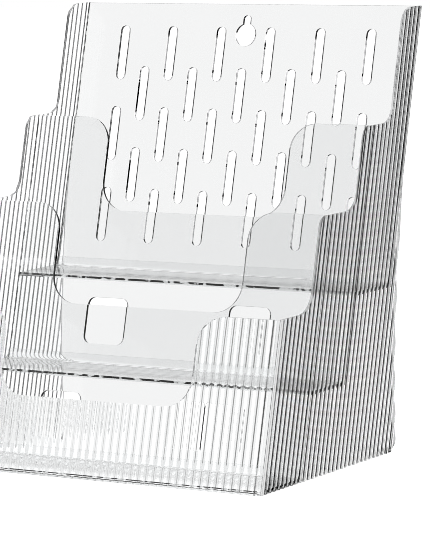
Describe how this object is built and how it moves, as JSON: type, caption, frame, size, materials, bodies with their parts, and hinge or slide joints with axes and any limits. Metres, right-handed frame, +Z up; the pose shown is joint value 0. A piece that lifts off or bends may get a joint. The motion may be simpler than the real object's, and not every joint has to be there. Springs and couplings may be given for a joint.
{
  "type": "brochure rack",
  "caption": "Clear plastic brochure rack with stepped leaning pockets, fluted front and sides, finger cut-outs and a slotted back with a keyhole.",
  "frame": {"origin": "on the table, under the middle of the bounding box", "axes": "+Z up, +X to the rack's right as seen from the front, -Y towards the reader"},
  "size_m": [0.2286, 0.1898, 0.25],
  "materials": {
    "clear_sheet": "clear, glossy",
    "clear_fluted": "clear, glossy, fluted outside"
  },
  "bodies": {
    "root": {"front_panel": "clear_fluted", "front_floor": "clear_sheet", "middle_tier_panel": "clear_sheet", "middle_floor": "clear_sheet", "rear_tier_panel": "clear_sheet", "rear_floor": "clear_sheet", "back_panel": "clear_sheet", "left_side_panel": "clear_fluted", "right_side_panel": "clear_fluted"}
  },
  "joints": []
}
